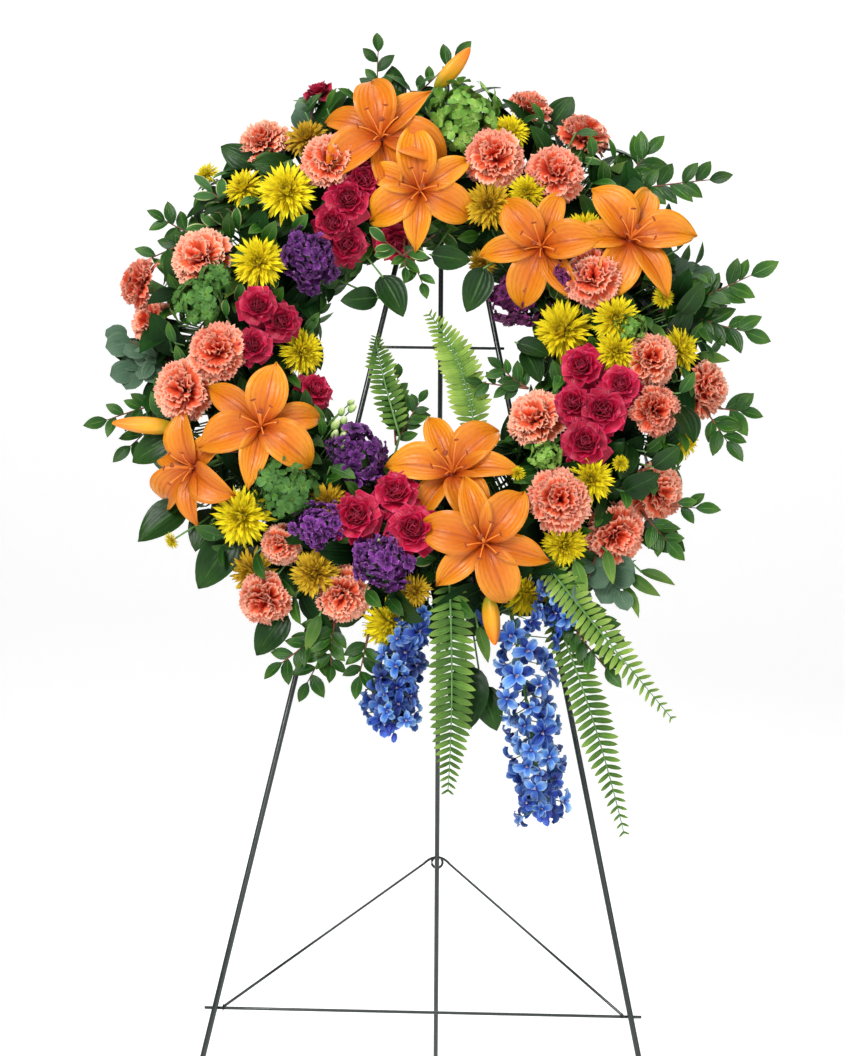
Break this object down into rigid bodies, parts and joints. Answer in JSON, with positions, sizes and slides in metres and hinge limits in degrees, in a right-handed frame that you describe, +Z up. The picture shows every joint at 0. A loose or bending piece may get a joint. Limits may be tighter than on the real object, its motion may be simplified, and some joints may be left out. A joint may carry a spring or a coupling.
{
  "type": "standing funeral wreath on a folding wire easel",
  "caption": "Standing floral wreath: lilies, carnations, chrysanthemums, spray roses and greenery in a foam ring, tied to a folding wire easel.",
  "frame": {"origin": "on the floor, below the middle of the bounding box", "axes": "+Z up, front of the wreath towards -Y, +X to the right of someone who faces the front"},
  "size_m": [0.793, 0.616, 1.35],
  "materials": {
    "easel_paint": "satin",
    "binding_wire": "satin",
    "floral_foam": "matte",
    "tray_plastic": "satin",
    "lily_petal": "satin",
    "carnation_petal": "matte",
    "chrysanthemum_petal": "matte",
    "rose_petal": "matte",
    "stock_petal": "matte",
    "hydrangea_petal": "matte",
    "delphinium_petal": "matte",
    "fern_frond": "matte",
    "glossy_leaf": "satin"
  },
  "bodies": {
    "front_frame": {"front_leg_left": "easel_paint", "front_leg_right": "easel_paint", "apex_bend": "easel_paint", "upper_crossbar": "easel_paint", "lower_crossbar": "easel_paint", "hinge_bar": "easel_paint", "tie_wire_left": "binding_wire", "tie_wire_right": "binding_wire", "hanger_wire": "binding_wire", "lily_top": "lily_petal", "lily_top_inner": "lily_petal", "lily_right_inner": "lily_petal", "lily_right_outer": "lily_petal", "lily_left_inner": "lily_petal", "lily_left_outer": "lily_petal", "lily_bottom_inner": "lily_petal", "lily_bottom": "lily_petal", "carnations_top_left": "carnation_petal", "carnations_left_edge": "carnation_petal", "carnations_left": "carnation_petal", "carnations_top_right": "carnation_petal", "carnations_top_edge": "carnation_petal", "carnation_right_upper": "carnation_petal", "carnations_right_inner": "carnation_petal", "carnations_right": "carnation_petal", "carnations_lower_right": "carnation_petal", "carnations_lower_left": "carnation_petal", "mums_top_left": "chrysanthemum_petal", "mums_left": "chrysanthemum_petal", "mums_lower_left": "chrysanthemum_petal", "mums_bottom": "chrysanthemum_petal", "mums_top_right": "chrysanthemum_petal", "mums_right": "chrysanthemum_petal", "mums_right_edge": "chrysanthemum_petal", "mums_lower_right": "chrysanthemum_petal", "roses_top": "rose_petal", "roses_left": "rose_petal", "roses_right": "rose_petal", "roses_bottom": "rose_petal", "stock_upper_left": "stock_petal", "stock_right": "stock_petal", "stock_lower_left": "stock_petal", "stock_bottom": "stock_petal", "hydrangea_top": "hydrangea_petal", "hydrangea_lower_left": "hydrangea_petal", "delphinium_left": "delphinium_petal", "delphinium_right": "delphinium_petal", "fern_eye_right": "fern_frond", "fern_eye_left": "fern_frond", "fern_bottom": "fern_frond", "fern_lower_right": "fern_frond", "fern_lowest": "fern_frond", "huckleberry_top": "glossy_leaf", "huckleberry_upper_right": "glossy_leaf", "huckleberry_right": "glossy_leaf", "huckleberry_left": "glossy_leaf", "foam_ring": "floral_foam", "ring_tray": "tray_plastic"},
    "rear_leg": {"rear_leg": "easel_paint"},
    "spreader": {"spreader_brace": "easel_paint"}
  },
  "joints": [
    {"name": "rear_leg_fold", "type": "hinge", "parent": "front_frame", "child": "rear_leg", "pos_m": [0.01556, -0.03354, 1.25531], "axis": [1, 0, 0], "range_deg": [-24, 0]},
    {"name": "spreader_fold", "type": "hinge", "parent": "front_frame", "child": "spreader", "pos_m": [0.01556, -0.24789, 0.22128], "axis": [1, 0, 0], "range_deg": [0, 60]}
  ],
  "couplings": [
    {"joint": "spreader_fold", "follows": "rear_leg_fold", "ratio": -2.5}
  ]
}
